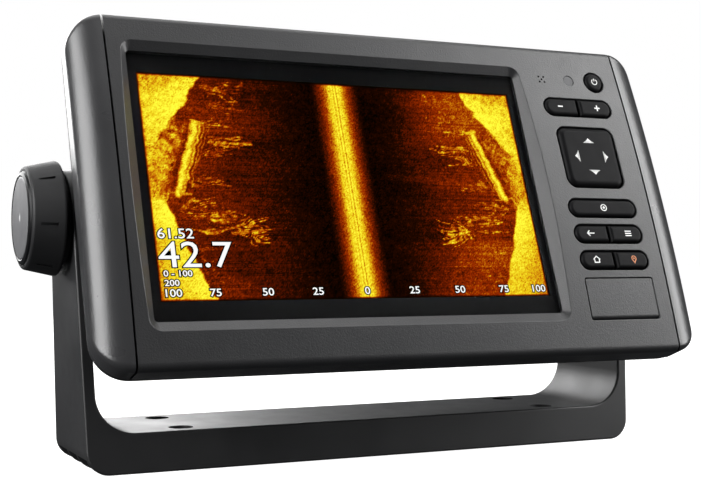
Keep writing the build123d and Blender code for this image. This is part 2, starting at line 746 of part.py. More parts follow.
with BuildPart() as housing_screws:
    for place in (*edge_screws, *side_screws):
        with BuildSketch(face.offset(-lip_back + 0.2)):
            with Locations(place):
                Circle(screw_head)
                RegularPolygon(1.3, 6, mode=Mode.SUBTRACT)
        extrude(amount=1.8)
        with BuildSketch(face.offset(-lip_back + 1.4)):
            with Locations(place):
                Circle(screw_radius)
        extrude(amount=8.0)
save(housing_screws, "housing_screws")


socket_depth = 7.5              # depth of a socket's cup inside the back wall
socket_reach = 5.0              # how far a collar stands out behind


def make_socket(name, place, radius, pin_count):
    """Round socket: flange and threaded collar outside the back wall, cup with contacts inside."""
    back = housing_sections[-1][0]
    with BuildPart() as socket:
        with BuildSketch(face.offset(-back)):
            with Locations(place):
                Circle(radius + 2.4)
        extrude(amount=-2.0)
        with BuildSketch(face.offset(-back + 9)):
            with Locations(place):
                Circle(radius)
        extrude(amount=-9 - socket_reach)
        fillet(socket.edges().filter_by(lambda e: depth_of(e) < -back - socket_reach + 0.01), 0.6)
        with BuildSketch(face.offset(-back + socket_depth)):
            with Locations(place):
                Circle(radius - 1.6)
        extrude(amount=-20, mode=Mode.SUBTRACT)
        # keyway that a plug's rib slides into
        with BuildSketch(face.offset(-back + socket_depth)):
            with Locations((place[0], place[1] + radius - 1.4)):
                Rectangle(2.2, 1.2)
        extrude(amount=-20, mode=Mode.SUBTRACT)
    save(socket, name)
    turns = [radians(360 * i / pin_count) for i in range(pin_count)]
    return [(place[0] + radius / 2 * cos(a), place[1] + radius / 2 * sin(a)) for a in turns]


pin_places = make_socket("transducer_socket", transducer_place, transducer_radius, 8)
pin_places += make_socket("power_socket", power_socket_place, plug_radius, 4)
pin_places += make_socket("network_socket", network_place, plug_radius, 5)
with BuildPart() as socket_pins:
    with BuildSketch(face.offset(-housing_sections[-1][0] + socket_depth)):
        with Locations(*pin_places):
            Circle(0.6)
    extrude(amount=-5.0)
save(socket_pins, "socket_pins")

with BuildPart() as pressure_vent:
    with BuildSketch(face.offset(-housing_sections[-1][0] + 2)):
        with Locations(vent_place):
            Circle(vent_radius)
    extrude(amount=-2.0)
    with BuildSketch(face.offset(-housing_sections[-1][0])):
        with Locations(vent_place):
            Circle(vent_radius + 1.65)
    extrude(amount=-1.2)
save(pressure_vent, "pressure_vent")


# ---- Pivots: insert in the head, stud, washer and knob on each side ----
def turned(side, rows):
    """Closed outline of a turned piece: distance from the middle and radius at each corner."""
    Polyline([(side * x, pivot_height + radius) for x, radius in rows], close=True)


def pivot_axis():
    return Axis((0, 0, pivot_height), (1, 0, 0))


for side, name in ((-1, "left"), (1, "right")):
    with BuildPart() as threaded_insert:
        with BuildSketch(Plane.YZ.offset(side * insert_inner)):
            with Locations((0, pivot_height)):
                Circle(insert_radius)
                Circle(stud_radius + 0.05, mode=Mode.SUBTRACT)
        extrude(amount=side * (boss_face - insert_inner))
    save(threaded_insert, f"{name}_threaded_insert")

    with BuildPart() as washer:
        with BuildSketch(Plane.YZ.offset(side * (pad_outer + 0.1))):
            with Locations((0, pivot_height)):
                Circle(washer_radius)
                Circle(stud_radius + 0.05, mode=Mode.SUBTRACT)
        extrude(amount=side * washer_thickness)
    save(washer, f"{name}_washer")

    with BuildPart() as knob_stud:
        with BuildSketch(Plane.YZ.offset(side * stud_inner)):
            with Locations((0, pivot_height)):
                Circle(stud_radius)
        extrude(amount=side * (stud_end - stud_inner))
        chamfer(edges().filter_by(lambda e: abs(e.center().X) < stud_inner + 1), 0.8)
    save(knob_stud, f"{name}_knob_stud")

    with BuildPart() as knob_core:
        with BuildSketch(Plane.XZ):
            with BuildLine():
                turned(side, (
                    (knob_inner + 0.1, stud_radius + 0.02), (stud_end + 0.02, stud_radius + 0.02),
                    (stud_end + 0.02, 0), (grip_face, 0), (grip_face, 15.1),
                    (knob_outer - 0.4, 15.1), (knob_outer - 0.1, 15.5), (knob_outer - 0.5, 16.6),
                    (grip_face - 0.2, knob_hub), (knob_inner + 0.1, knob_hub),
                ))
            make_face()
        revolve(axis=pivot_axis())
    save(knob_core, f"{name}_knob_core")

    with BuildPart() as knob_grip:
        with BuildSketch(Plane.XZ) as section:
            with BuildLine():
                turned(side, (
                    (knob_inner, knob_hub + 0.05), (grip_face, knob_hub + 0.05), (grip_face, knob_shoulder),
                    (knob_inner + 1.2, knob_rim), (knob_inner, knob_rim),
                ))
            make_face()
            fillet(section.vertices().filter_by(
                lambda p: abs(abs(p.X) - grip_face) < 0.01 and abs(p.Y - pivot_height - knob_shoulder) < 0.01
            ), 1.2)
            fillet(section.vertices().filter_by(
                lambda p: abs(abs(p.X) - knob_inner) < 0.01 and abs(p.Y - pivot_height - knob_rim) < 0.01
            ), 0.8)
        revolve(axis=pivot_axis())
        with BuildSketch(Plane.YZ.offset(side * (knob_inner + 3.2))):
            with Locations((0, pivot_height)):
                with PolarLocations(knob_rim - 0.6, knob_slots, start_angle=33):
                    Rectangle(2.4, slot_width)
        extrude(amount=side * slot_length, mode=Mode.SUBTRACT)
    save(knob_grip, f"{name}_knob_grip")

    with BuildPart() as knob_disc:
        with BuildSketch(Plane.XZ):
            with BuildLine():
                turned(side, (
                    (grip_face + 0.05, 0), (grip_face + 0.05, 15.0), (knob_outer - 0.4, 15.0),
                    (knob_outer - 0.2, 14.4), (knob_outer, 0),
                ))
            make_face()
        revolve(axis=pivot_axis())
    save(knob_disc, f"{name}_knob_disc")

print("nodes written:", len(os.listdir("parts")))
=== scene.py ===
import json
import math

import bpy
import numpy as np
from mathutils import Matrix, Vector

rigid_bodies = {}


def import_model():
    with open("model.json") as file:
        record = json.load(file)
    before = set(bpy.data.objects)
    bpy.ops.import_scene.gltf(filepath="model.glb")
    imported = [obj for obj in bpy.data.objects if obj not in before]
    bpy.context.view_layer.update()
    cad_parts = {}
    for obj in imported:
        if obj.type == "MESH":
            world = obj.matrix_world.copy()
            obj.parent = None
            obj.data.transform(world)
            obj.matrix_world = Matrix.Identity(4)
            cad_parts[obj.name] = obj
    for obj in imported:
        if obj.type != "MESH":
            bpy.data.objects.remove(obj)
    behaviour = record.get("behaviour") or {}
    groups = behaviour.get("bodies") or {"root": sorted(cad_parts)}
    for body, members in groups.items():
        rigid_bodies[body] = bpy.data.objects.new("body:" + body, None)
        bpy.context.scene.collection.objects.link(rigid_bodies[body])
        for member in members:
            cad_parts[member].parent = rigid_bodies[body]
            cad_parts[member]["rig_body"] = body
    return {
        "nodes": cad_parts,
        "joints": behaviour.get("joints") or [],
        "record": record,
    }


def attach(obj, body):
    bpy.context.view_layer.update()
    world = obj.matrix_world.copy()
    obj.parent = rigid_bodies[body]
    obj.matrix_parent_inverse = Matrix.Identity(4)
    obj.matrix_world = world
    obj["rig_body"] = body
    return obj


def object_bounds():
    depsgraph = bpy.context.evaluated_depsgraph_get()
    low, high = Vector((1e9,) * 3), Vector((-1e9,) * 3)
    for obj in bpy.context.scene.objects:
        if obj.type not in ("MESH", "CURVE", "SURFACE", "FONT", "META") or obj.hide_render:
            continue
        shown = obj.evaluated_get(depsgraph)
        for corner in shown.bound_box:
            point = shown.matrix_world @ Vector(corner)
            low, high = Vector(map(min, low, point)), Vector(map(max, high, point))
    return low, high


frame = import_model()
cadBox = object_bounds()
nodes = frame["nodes"]
joints = {joint["name"]: joint for joint in frame["joints"]}
print("frame loaded:", len(nodes), "nodes")

# Head frame: u to the viewer's right, v up the face, w out of the face, from the tilt pivot
pivot = np.array(joints["head_tilt"]["pos_m"])
headOut = -Vector(joints["select_key_press"]["axis"]).normalized()
headRight = Vector((1, 0, 0))
headUp = headOut.cross(headRight)
headAxes = np.array([headRight, headUp, headOut])
mm = 0.001


def headBox(node):
    # lowest and highest u, v, w of a CAD node: its points less the pivot, turned by the head's axes
    mesh = nodes[node].data
    points = np.empty(len(mesh.vertices) * 3)
    mesh.vertices.foreach_get("co", points)
    local = (points.reshape(-1, 3) - pivot) @ headAxes.T
    return local.min(0), local.max(0)


def toRow(local):
    # head frame to row frame: each coordinate along its own head axis, from the pivot
    return np.asarray(local) @ headAxes + pivot


def topCentre(node):
    low, high = headBox(node)
    return np.array([(low[0] + high[0]) / 2, (low[1] + high[1]) / 2, high[2]])


def addPiece(name, points, faces, body, material):
    mesh = bpy.data.meshes.new(name)
    mesh.from_pydata(np.asarray(points).tolist(), [], [list(map(int, face)) for face in faces])
    mesh.update()
    mesh.materials.append(material)
    piece = bpy.data.objects.new(name, mesh)
    bpy.context.scene.collection.objects.link(piece)
    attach(piece, body)
    return piece


# Materials

def linear(hexColour):
    # sRGB hex to linear: c / 12.92 below 0.04045, else ((c + 0.055) / 1.055) to the power 2.4
    parts = [int(hexColour[i:i + 2], 16) / 255 for i in (1, 3, 5)]
    return tuple(c / 12.92 if c <= 0.04045 else ((c + 0.055) / 1.055) ** 2.4 for c in parts) + (1.0,)


def addNode(tree, kind, properties=None, **inputs):
    # one node: its properties, then each input as a value or as the socket that feeds it
    node = tree.nodes.new(kind)
    for key, value in (properties or {}).items():
        setattr(node, key, value)
    for key, value in inputs.items():
        socket = node.inputs[key.replace("_", " ")]
        if isinstance(value, bpy.types.NodeSocket):
            tree.links.new(value, socket)
        else:
            socket.default_value = value
    return node


def startMaterial(name):
    material = bpy.data.materials.new(name)
    material.use_nodes = True
    tree = material.node_tree
    tree.nodes.clear()
    return material, tree


def closeMaterial(tree, **inputs):
    shader = addNode(tree, "ShaderNodeBsdfPrincipled", **inputs)
    addNode(tree, "ShaderNodeOutputMaterial", Surface=shader.outputs["BSDF"])


grainNoise = {"Detail": 2.0, "Roughness": 0.6}
cloudNoise = {"Detail": 3.0, "Roughness": 0.55}
cloudSpread = {"From_Min": 0.3, "From_Max": 0.7}     # where most of the noise lies


def objectPlace(tree):
    return addNode(tree, "ShaderNodeTexCoord").outputs["Object"]


def grainNormal(tree, grainMm, depthMm, strength):
    # a noise whose cells are grainMm across, raised by depthMm
    grain = addNode(
        tree, "ShaderNodeTexNoise", Vector=objectPlace(tree), Scale=1 / (grainMm * mm), **grainNoise
    )
    bump = addNode(
        tree, "ShaderNodeBump", Height=grain.outputs["Fac"], Strength=strength, Distance=depthMm * mm
    )
    return bump.outputs["Normal"]


def cloudedValue(tree, sizeMm, low, high):
    # a soft noise with patches sizeMm across, mapped to low..high
    cloud = addNode(
        tree, "ShaderNodeTexNoise", Vector=objectPlace(tree), Scale=1 / (sizeMm * mm), **cloudNoise
    )
    span = addNode(
        tree, "ShaderNodeMapRange", Value=cloud.outputs["Fac"], To_Min=low, To_Max=high, **cloudSpread
    )
    return span.outputs["Result"]


def cloudedColour(tree, sizeMm, darkHex, lightHex):
    factor = cloudedValue(tree, sizeMm, low=0.0, high=1.0)
    blend = addNode(tree, "ShaderNodeMix", {"data_type": "RGBA"}, Factor=factor)
    dark, light = [socket for socket in blend.inputs if socket.type == "RGBA"]
    dark.default_value = linear(darkHex)
    light.default_value = linear(lightHex)
    return next(socket for socket in blend.outputs if socket.type == "RGBA")


glossPatch = 0.6          # gloss varies in smaller patches than colour
plainSpecular = 0.5       # the shader's own level, which leaves the index as it is


def mouldedMaterial(name, look):
    # a moulded surface: clouded colour and gloss, with the tool's fine grain
    material, tree = startMaterial(name)
    low, high = look["roughness"]
    closeMaterial(
        tree,
        Base_Color=cloudedColour(tree, look["patchMm"], *look["colours"]),
        Roughness=cloudedValue(tree, look["patchMm"] * glossPatch, low, high),
        Normal=grainNormal(tree, look["grainMm"], look["depthMm"], look["strength"]),
        IOR=look["ior"],
        Specular_IOR_Level=look.get("specular", plainSpecular),
    )
    return material


def paintedAbs():
    # satin paint over ABS with a spark-eroded grain: a soft wide highlight that sparkles faintly
    return mouldedMaterial("painted_abs_spark_eroded", {
        "colours": ("#202021", "#242425"), "patchMm": 18.0, "roughness": (0.36, 0.40),
        "grainMm": 0.6, "depthMm": 0.09, "strength": 0.9, "ior": 1.5,
    })


def paintedCapAbs():
    # the same paint laid smoother on the side caps: a tighter highlight down the roll
    return mouldedMaterial("painted_abs_smooth", {
        "colours": ("#282829", "#2C2C2D"), "patchMm": 22.0, "roughness": (0.27, 0.31),
        "grainMm": 0.55, "depthMm": 0.07, "strength": 0.7, "ior": 1.5,
    })


def housingAbs():
    # bare moulded ABS with a coarser grain: dull, dark, a little uneven in gloss
    return mouldedMaterial("moulded_abs_black", {
        "colours": ("#1A1A1B", "#202022"), "patchMm": 25.0, "roughness": (0.48, 0.58),
        "grainMm": 0.7, "depthMm": 0.05, "strength": 0.4, "ior": 1.5,
    })


def bracketNylon():
    # glass-filled nylon, moulded: near black, with a fine dry grain and faint flow marks
    return mouldedMaterial("glass_filled_nylon_moulded", {
        "colours": ("#141415", "#1A1A1B"), "patchMm": 30.0, "roughness": (0.42, 0.52),
        "grainMm": 0.5, "depthMm": 0.035, "strength": 0.4, "ior": 1.53,
    })


def keySilicone():
    # coated silicone keys: black, soft sheen that spreads over the rounded edges
    return mouldedMaterial("silicone_coated", {
        "colours": ("#0D0D0E", "#111112"), "patchMm": 6.0, "roughness": (0.42, 0.5),
        "grainMm": 0.25, "depthMm": 0.01, "strength": 0.25, "ior": 1.43, "specular": 0.08,
    })


def gripRubber():
    # thermoplastic rubber moulded over the knob: matt, slightly greyer than the core
    return mouldedMaterial("thermoplastic_rubber_moulded", {
        "colours": ("#141415", "#1A1A1B"), "patchMm": 12.0, "roughness": (0.5, 0.6),
        "grainMm": 0.35, "depthMm": 0.03, "strength": 0.4, "ior": 1.5, "specular": 0.35,
    })


def knobAbs():
    # satin ABS rim of the knob: a dark ring
    return mouldedMaterial("knob_abs_satin", {
        "colours": ("#0C0C0D", "#101011"), "patchMm": 10.0, "roughness": (0.34, 0.40),
        "grainMm": 0.5, "depthMm": 0.01, "strength": 0.15, "ior": 1.5, "specular": 0.16,
    })


def discAbs():
    # grey satin disc let into the knob's end
    return mouldedMaterial("disc_abs_satin", {
        "colours": ("#4A4A4C", "#505052"), "patchMm": 10.0, "roughness": (0.4, 0.46),
        "grainMm": 0.35, "depthMm": 0.02, "strength": 0.3, "ior": 1.5, "specular": 0.3,
    })


def washerAcetal():
    # acetal washer: smooth and waxy
    return mouldedMaterial("acetal_moulded", {
        "colours": ("#111112", "#161617"), "patchMm": 8.0, "roughness": (0.3, 0.36),
        "grainMm": 0.6, "depthMm": 0.01, "strength": 0.15, "ior": 1.48,
    })


def sealRubber():
    # moulded EPDM rubber: the darkest, dullest surface
    return mouldedMaterial("epdm_moulded", {
        "colours": ("#080808", "#0C0C0C"), "patchMm": 6.0, "roughness": (0.65, 0.75),
        "grainMm": 0.3, "depthMm": 0.02, "strength": 0.3, "ior": 1.5,
    })


def socketPbt():
    # glass-filled PBT sockets: black with a dry moulded skin
    return mouldedMaterial("pbt_moulded", {
        "colours": ("#121213", "#18181A"), "patchMm": 7.0, "roughness": (0.38, 0.46),
        "grainMm": 0.3, "depthMm": 0.02, "strength": 0.3, "ior": 1.55,
    })


def chipEpoxy():
    # transfer-moulded epoxy: matt charcoal
    return mouldedMaterial("epoxy_moulded", {
        "colours": ("#161617", "#1E1E20"), "patchMm": 5.0, "roughness": (0.5, 0.6),
        "grainMm": 0.15, "depthMm": 0.01, "strength": 0.3, "ior": 1.55,
    })


def boardGlassEpoxy():
    # glass-epoxy board under green solder mask: glossy over a faint weave
    return mouldedMaterial("glass_epoxy_solder_mask", {
        "colours": ("#0C3A1C", "#104724"), "patchMm": 9.0, "roughness": (0.28, 0.36),
        "grainMm": 0.5, "depthMm": 0.01, "strength": 0.2, "ior": 1.55,
    })


def antennaCeramic():
    # fired ceramic patch: cream, dull
    return mouldedMaterial("ceramic_fired", {
        "colours": ("#C9BDA2", "#D4C9B0"), "patchMm": 8.0, "roughness": (0.5, 0.6),
        "grainMm": 0.3, "depthMm": 0.01, "strength": 0.2, "ior": 1.6,
    })


def maskInk():
    # black ink screen-printed on the back of the lens: flat and even
    return mouldedMaterial("ink_screen_printed_black", {
        "colours": ("#0B0B0C", "#0D0D0E"), "patchMm": 40.0, "roughness": (0.5, 0.55),
        "grainMm": 0.3, "depthMm": 0.002, "strength": 0.05, "ior": 1.5, "specular": 0.1,
    })


def sensorPolycarbonate():
    # smoked polycarbonate window: glossy, lets a little grey through
    return mouldedMaterial("polycarbonate_smoked", {
        "colours": ("#3A3A3C", "#444446"), "patchMm": 3.0, "roughness": (0.28, 0.34),
        "grainMm": 0.5, "depthMm": 0.004, "strength": 0.1, "ior": 1.585, "specular": 0.2,
    })


def bareMetal(name, darkHex, lightHex, roughness):
    # bare metal: fine tool marks give a streaked gloss; roughness is its lowest and highest
    material, tree = startMaterial(name)
    low, high = roughness
    closeMaterial(
        tree,
        Base_Color=cloudedColour(tree, sizeMm=2.0, darkHex=darkHex, lightHex=lightHex),
        Roughness=cloudedValue(tree, sizeMm=0.4, low=low, high=high),
        Normal=grainNormal(tree, grainMm=0.12, depthMm=0.005, strength=0.3),
        Metallic=1.0,
    )
    return material


def lensGlass():
    # toughened glass with an anti-reflection coat: clear, with only a faint gloss
    material, tree = startMaterial("glass_toughened_coated")
    closeMaterial(
        tree,
        Base_Color=linear("#FDFEFE"),
        Roughness=cloudedValue(tree, sizeMm=60.0, low=0.015, high=0.03),
        Transmission_Weight=1.0,
        IOR=1.03,
        Specular_Tint=linear("#0A0A0C"),
    )
    return material


def displayGlass():
    # the panel's own glass, black when seen off the picture
    material, tree = startMaterial("glass_display_polariser")
    closeMaterial(
        tree,
        Base_Color=cloudedColour(tree, sizeMm=30.0, darkHex="#060607", lightHex="#08080A"),
        Roughness=0.12,
    )
    return material


def markInk(name, darkHex, lightHex):
    # screen-printed ink on the keys: opaque and matt, slightly uneven
    material, tree = startMaterial(name)
    closeMaterial(
        tree,
        Base_Color=cloudedColour(tree, sizeMm=1.5, darkHex=darkHex, lightHex=lightHex),
        Roughness=0.5,
        Normal=grainNormal(tree, grainMm=0.2, depthMm=0.005, strength=0.2),
    )
    return material


def glowingMaterial(name, colour, strength):
    # one colour of the lit panel, with the panel's faint unevenness
    material, tree = startMaterial(name)
    closeMaterial(
        tree,
        Base_Color=linear("#000000"),
        Roughness=cloudedValue(tree, sizeMm=20.0, low=0.4, high=0.5),
        Specular_IOR_Level=0.0,
        Emission_Color=linear(colour),
        Emission_Strength=strength,
    )
    return material


def sonarPicture():
    # echo strength to amber: the palette runs from black through red-brown to yellow
    material, tree = startMaterial("lcd_picture_lit")
    echo = addNode(tree, "ShaderNodeAttribute", {"attribute_name": "echo"})
    ramp = addNode(tree, "ShaderNodeValToRGB", Fac=echo.outputs["Fac"])
    stops = (
        (0.0, "#030100"), (0.15, "#230900"), (0.30, "#5C1600"), (0.45, "#982C00"),
        (0.60, "#C67008"), (0.78, "#E8C416"), (1.0, "#FFFB3C"),
    )
    for place, colour in stops[1:-1]:
        ramp.color_ramp.elements.new(place)
    for element, (place, colour) in zip(ramp.color_ramp.elements, stops):
        element.position = place
        element.color = linear(colour)
    closeMaterial(
        tree,
        Base_Color=linear("#000000"),
        Roughness=0.5,
        Specular_IOR_Level=0.0,
        Emission_Color=ramp.outputs["Color"],
        Emission_Strength=1.08,
    )
    return material


materials = {
    "bezel_plastic": paintedAbs(),
    "cap_plastic": paintedCapAbs(),
    "housing_plastic": housingAbs(),
    "bracket_nylon": bracketNylon(),
    "knob_plastic": knobAbs(),
    "knob_rubber": gripRubber(),
    "knob_disc_plastic": discAbs(),
    "washer_plastic": washerAcetal(),
    "stainless_steel": bareMetal("stainless_steel_turned", "#A9A9A8", "#BDBDBB", (0.25, 0.4)),
    "brass": bareMetal("brass_turned", "#B08D4F", "#C7A462", (0.28, 0.42)),
    "seal_rubber": sealRubber(),
    "lens_glass": lensGlass(),
    "mask_ink": maskInk(),
    "display": displayGlass(),
    "frame_aluminium": bareMetal("aluminium_stamped", "#B4B5B8", "#C6C7CA", (0.35, 0.5)),
    "circuit_board": boardGlassEpoxy(),
    "component_black": chipEpoxy(),
    "antenna_ceramic": antennaCeramic(),
    "key_rubber": keySilicone(),
    "sensor_window": sensorPolycarbonate(),
    "socket_plastic": socketPbt(),
    "contact_gold": bareMetal("gold_plated", "#D2A94E", "#E3BF68", (0.2, 0.3)),
}
for subpart in frame["record"]["subparts"]:
    for slot in nodes[subpart["node"]].material_slots:
        slot.material = materials[subpart["material_slot"]]
whiteInk = markInk("ink_screen_printed_white", "#E2E2E0", "#F0F0EE")
orangeInk = markInk("ink_screen_printed_orange", "#C2713C", "#CE7E48")
print("materials made:", len(bpy.data.materials))

# The picture on the display: echo strength over s, -1..1 across, and t, 0..1 up

picture = {
    "width": 154.9 * mm, "height": 86.4 * mm,
    "columns": 400, "rows": 224,
    "seed": 11,
    "behindLens": 0.2 * mm,
}
noises = {  # how far each noise is blurred up and across, in points
    "sideways": (3, 2), "upDown": (2, 6), "clouds": (12, 26), "fine": (1, 1), "streaks": (0, 30),
}
wander = {"side": 0.0025, "lift": 0.006}     # how far outlines stray
bed = {
    "level": 0.225, "clouds": 0.03, "streaks": 0.028,
    # brighter patches: gain, where it rises across, where it rises up
    "patches": ((0.12, (0.05, 0.35), (0.27, 0.23)), (0.08, (0.15, 0.5), (0.62, 0.9))),
    "outerGain": 0.09, "outerEdges": (0.45, 0.75),
    "rightGain": 0.04, "rightEdges": (0.2, 0.6),
    "shadow": 0.18, "shadowEdges": (0.12, 0.56),     # share of the level left beside the track
    "ridgeGain": 0.06, "ridge": ((0.2, 0.56), (0.85, 0.52), 0.02),
}
track = {
    "wobble": 0.0015,
    "places": (0.0, 0.022, 0.038, 0.058, 0.088, 0.135),
    "levels": (0.97, 0.92, 0.70, 0.50, 0.30, 0.0),
    "lines": ((-0.022, 0.12), (-0.009, 0.3), (0.008, 0.34), (0.021, 0.12)),     # place, depth
    "lineWidth": 0.0032,
}
upperBank = {
    "edge": 0.69, "slope": 0.78, "edgeBlur": (-0.006, 0.012), "foot": (0.60, 0.66),
    "level": 0.92, "dim": 0.15, "dimEdges": (0.03, 0.2), "clouds": 0.06, "fine": 0.03,
}
roughGround = {
    "slope": 0.5, "top": 0.8, "edge": (0.74, 0.80), "foot": (0.43, 0.47), "head": (0.80, 0.74),
    "level": 0.58, "fine": 0.07, "clouds": 0.08,
}
lowerBank = {
    "edge": 0.735, "bulge": 0.19, "height": 0.43, "curve": 0.85, "edgeBlur": (-0.006, 0.01),
    "head": (0.46, 0.43), "level": 0.94, "dim": 0.06, "dimEdges": (0.04, 0.16),
    "outerDim": 0.10, "outerEdges": (0.9, 1.0), "clouds": 0.05,
}
betweenBanks = {
    "edge": (0.86, 0.97), "foot": (0.40, 0.46), "head": (0.74, 0.64),
    "level": 0.72, "clouds": 0.07, "fine": 0.04,
}
wreck = (  # start, end, width, level of the long slanting ridge and the faint ones beside it
    ((0.745, 0.78), (0.865, 0.455), 0.024, 0.93), ((0.72, 0.77), (0.84, 0.46), 0.012, 0.74),
    ((0.705, 0.782), (0.76, 0.795), 0.012, 0.8), ((0.70, 0.77), (0.80, 0.50), 0.007, 0.58),
    ((0.68, 0.76), (0.77, 0.56), 0.006, 0.5), ((0.80, 0.77), (0.90, 0.50), 0.006, 0.5),
    ((0.84, 0.80), (0.965, 0.66), 0.007, 0.66), ((0.84, 0.79), (0.93, 0.52), 0.008, 0.55),
    ((0.93, 0.58), (0.95, 0.47), 0.012, 0.72), ((0.80, 0.452), (0.90, 0.462), 0.010, 0.66),
    ((0.90, 0.47), (0.93, 0.43), 0.010, 0.7),
)
weed = {
    # root, reach, spread, number of strands, level
    "tufts": (
        ((0.68, 0.935), 0.20, 0.040, 11, 0.44), ((0.66, 0.86), 0.18, 0.035, 9, 0.42),
        ((0.72, 0.785), 0.18, 0.030, 8, 0.46), ((0.68, 0.70), 0.20, 0.030, 12, 0.50),
        ((0.72, 0.64), 0.16, 0.050, 9, 0.44), ((0.80, 0.51), 0.20, 0.035, 9, 0.43),
        ((0.86, 0.40), 0.20, 0.035, 10, 0.46), ((0.80, 0.36), 0.26, 0.035, 13, 0.47),
        ((0.84, 0.30), 0.34, 0.008, 5, 0.48), ((0.62, 0.30), 0.17, 0.055, 18, 0.54),
        ((0.78, 0.10), 0.12, 0.030, 5, 0.42), ((0.85, 0.19), 0.14, 0.025, 5, 0.41),
    ),
    "width": 0.0038, "gain": 1.2, "fine": 0.15,
    "shortest": 0.4, "rootScatter": (-0.03, 0.02),
}
speckle = {
    "grain": 0.075, "onDark": 0.55, "onBright": 0.9, "fine": 0.018,
    "pointShare": 0.0012, "pointGain": 0.22, "pointEdges": (0.15, 0.3),
}
border = {"rowShare": 1.1, "edge": (-0.004, 0.012)}     # the panel darkens over its last row of cells


def blurred(field, reach, axis):
    # running mean over 2 * reach + 1 samples, wrapped at the ends
    steps = range(-reach, reach + 1)
    return sum(np.roll(field, step, axis) for step in steps) / len(steps)


def smoothNoise(random, shape, reachT, reachS):
    # white noise blurred twice each way, scaled back to a spread of one
    field = random.standard_normal(shape)
    for axis, reach in ((0, reachT), (1, reachS), (0, reachT), (1, reachS)):
        field = blurred(field, reach, axis)
    return field / field.std()


def rise(value, low, high):
    # smooth step from 0 at low to 1 at high; it falls as value grows if low is the larger
    x = np.clip((value - low) / (high - low), 0, 1)
    return x * x * (3 - 2 * x)


def strand(side, t, start, end, width):
    # bell-shaped ridge around the straight line from start to end, 1 on the line
    aspect = picture["height"] / (picture["width"] / 2)
    x, y = side - start[0], (t - start[1]) * aspect
    dx, dy = end[0] - start[0], (end[1] - start[1]) * aspect
    along = np.clip((x * dx + y * dy) / (dx * dx + dy * dy), 0, 1)
    away = np.hypot(x - along * dx, y - along * dy)
    return np.exp(-(away / width) ** 2)


def addBed(s, t, side, noise):
    # the sea bed: dark brown, black beside the track
    field = bed["level"] + bed["clouds"] * noise["clouds"] + bed["streaks"] * noise["streaks"]
    for gain, across, up in bed["patches"]:
        field += gain * rise(s, *across) * rise(t, *up)
    field += bed["outerGain"] * rise(side, *bed["outerEdges"])
    field += bed["rightGain"] * rise(s, *bed["rightEdges"])
    field *= bed["shadow"] + (1 - bed["shadow"]) * rise(side, *bed["shadowEdges"])
    return field + bed["ridgeGain"] * strand(s, t, *bed["ridge"])


def addTrack(field, s, noise):
    # the boat's track: a bright band with thin dark lines that fades out through orange
    away = np.abs(s) + track["wobble"] * noise["fine"]
    field = np.maximum(field, np.interp(away, track["places"], track["levels"]))
    for place, depth in track["lines"]:
        field -= depth * np.exp(-((s - place) / track["lineWidth"]) ** 2)
    return field


def addBanks(field, side, lift, noise):
    # the upper bank, the rough orange ground inside it, the lower bank and the mottled edge between
    clouds, fine = noise["clouds"], noise["fine"]
    past = side - (upperBank["edge"] + upperBank["slope"] * (1 - lift))
    upper = rise(past, *upperBank["edgeBlur"]) * rise(lift, *upperBank["foot"])
    tone = upperBank["level"] - upperBank["dim"] * rise(past, *upperBank["dimEdges"])
    tone = tone + upperBank["clouds"] * clouds + upperBank["fine"] * fine
    field += upper * (tone - field)

    ground = rise(side - roughGround["slope"] * (roughGround["top"] - lift), *roughGround["edge"])
    ground = ground * rise(lift, *roughGround["foot"]) * rise(lift, *roughGround["head"])
    tone = roughGround["level"] + roughGround["fine"] * fine + roughGround["clouds"] * clouds
    field += ground * (1 - upper) * np.maximum(tone - field, 0)

    bulge = np.clip(lift / lowerBank["height"], 0, 1) ** lowerBank["curve"]
    past = side - (lowerBank["edge"] + lowerBank["bulge"] * bulge)
    lower = rise(past, *lowerBank["edgeBlur"]) * rise(lift, *lowerBank["head"])
    tone = lowerBank["level"] - lowerBank["dim"] * rise(past, *lowerBank["dimEdges"])
    tone = tone - lowerBank["outerDim"] * rise(side, *lowerBank["outerEdges"])
    field += lower * (tone + lowerBank["clouds"] * clouds - field)

    between = rise(side, *betweenBanks["edge"])
    between = between * rise(lift, *betweenBanks["foot"]) * rise(lift, *betweenBanks["head"])
    tone = betweenBanks["level"] + betweenBanks["clouds"] * clouds + betweenBanks["fine"] * fine
    return field + between * (tone - field)


def addWeed(random, field, side, lift, noise):
    # short forked strands that reach out from the banks
    for root, reach, spread, count, level in weed["tufts"]:
        for _ in range(count):
            length = reach * random.uniform(weed["shortest"], 1.0)
            fall = random.uniform(-spread, spread)
            start = (
                root[0] + random.uniform(*weed["rootScatter"]),
                root[1] + random.uniform(-1, 1) * spread / 2,
            )
            ridge = strand(side, lift, start, (start[0] - length, start[1] + fall), weed["width"])
            bright = weed["gain"] * level * ridge * (1 + weed["fine"] * noise["fine"])
            field = np.maximum(field, bright)
    return field


def addSpeckle(random, field, side, noise):
    # speckle, stronger on bright echoes, plus a few sharp points
    grain = random.standard_normal(field.shape)
    field += speckle["grain"] * grain * (speckle["onDark"] + speckle["onBright"] * field)
    field += speckle["fine"] * noise["fine"]
    points = random.random(field.shape) > 1 - speckle["pointShare"]
    return field + speckle["pointGain"] * points * rise(side, *speckle["pointEdges"])


